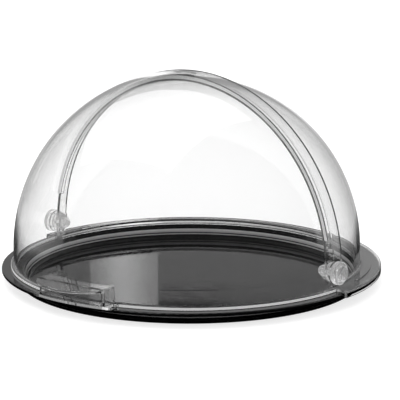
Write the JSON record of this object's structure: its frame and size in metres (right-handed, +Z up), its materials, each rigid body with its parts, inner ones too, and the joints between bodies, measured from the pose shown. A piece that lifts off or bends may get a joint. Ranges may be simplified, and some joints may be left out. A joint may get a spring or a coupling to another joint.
{
  "type": "covered serving tray",
  "caption": "Round serving tray with a clear roll-top dome: the front half rolls back over the fixed rear half about side hinge knobs, lifted by a front grip.",
  "frame": {"origin": "centre of the tray's flat underside, on the surface that it stands on", "axes": "+Z up, +X along the hinge axis to the right-hand knob, -Y towards the opening half's grip"},
  "size_m": [0.3824, 0.4032, 0.2107],
  "materials": {
    "black_plastic": "polished gloss",
    "clear_plastic": "clear polished",
    "clear_hardware": "clear moulded",
    "frosted_washer": "translucent satin"
  },
  "bodies": {
    "tray_body": {"tray": "black_plastic"},
    "rear_half": {"rear_cover": "clear_plastic", "right_hinge_knob": "clear_hardware", "right_outer_washer": "frosted_washer", "right_hinge_bush": "clear_hardware", "right_inner_washer": "frosted_washer", "right_cap_nut": "clear_hardware", "left_hinge_knob": "clear_hardware", "left_outer_washer": "frosted_washer", "left_hinge_bush": "clear_hardware", "left_inner_washer": "frosted_washer", "left_cap_nut": "clear_hardware"},
    "front_half": {"front_cover": "clear_plastic", "front_grip": "clear_plastic"}
  },
  "joints": [
    {"name": "cover_lift", "type": "slide", "parent": "tray_body", "child": "rear_half", "axis": [0, 0, 1], "range_m": [0, 0.08]},
    {"name": "front_roll", "type": "hinge", "parent": "rear_half", "child": "front_half", "pos_m": [0, 0, 0.0342], "axis": [-1, 0, 0], "range_deg": [0, 90]}
  ]
}
